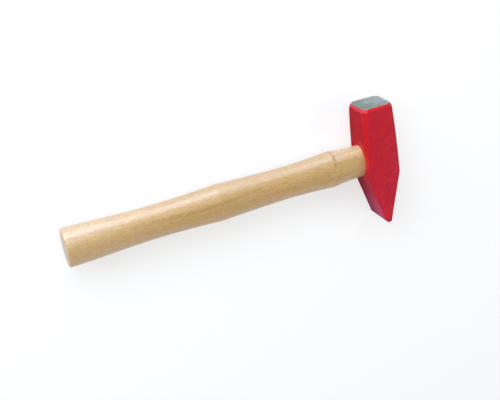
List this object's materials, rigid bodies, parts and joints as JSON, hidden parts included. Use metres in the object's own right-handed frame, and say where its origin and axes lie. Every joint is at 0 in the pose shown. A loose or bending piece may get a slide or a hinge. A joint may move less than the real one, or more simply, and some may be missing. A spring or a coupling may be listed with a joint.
{
  "type": "fitters hammer",
  "caption": "Cross-peen fitter's hammer with a red painted forged head, bare square face and a doubly curved oval wooden handle.",
  "frame": {"origin": "on the lower cheek of the head, under the crossing of the handle's axis and the head's axis, with the hammer lying on that cheek", "axes": "+X along the handle from the grip to the head, +Y from the eye to the striking face, +Z from the lower cheek to the upper cheek"},
  "size_m": [0.361, 0.1325, 0.0378],
  "materials": {
    "head_paint": "glossy red paint on forged steel, the striking face ground bare",
    "handle_wood": "pale sanded hardwood under a thin clear coat",
    "wedge_wood": "sawn hardwood, end grain",
    "ring_steel": "bright turned steel"
  },
  "bodies": {
    "root": {"head": "head_paint", "handle": "handle_wood", "wooden_wedge": "wedge_wood", "ring_wedge": "ring_steel"}
  },
  "joints": []
}
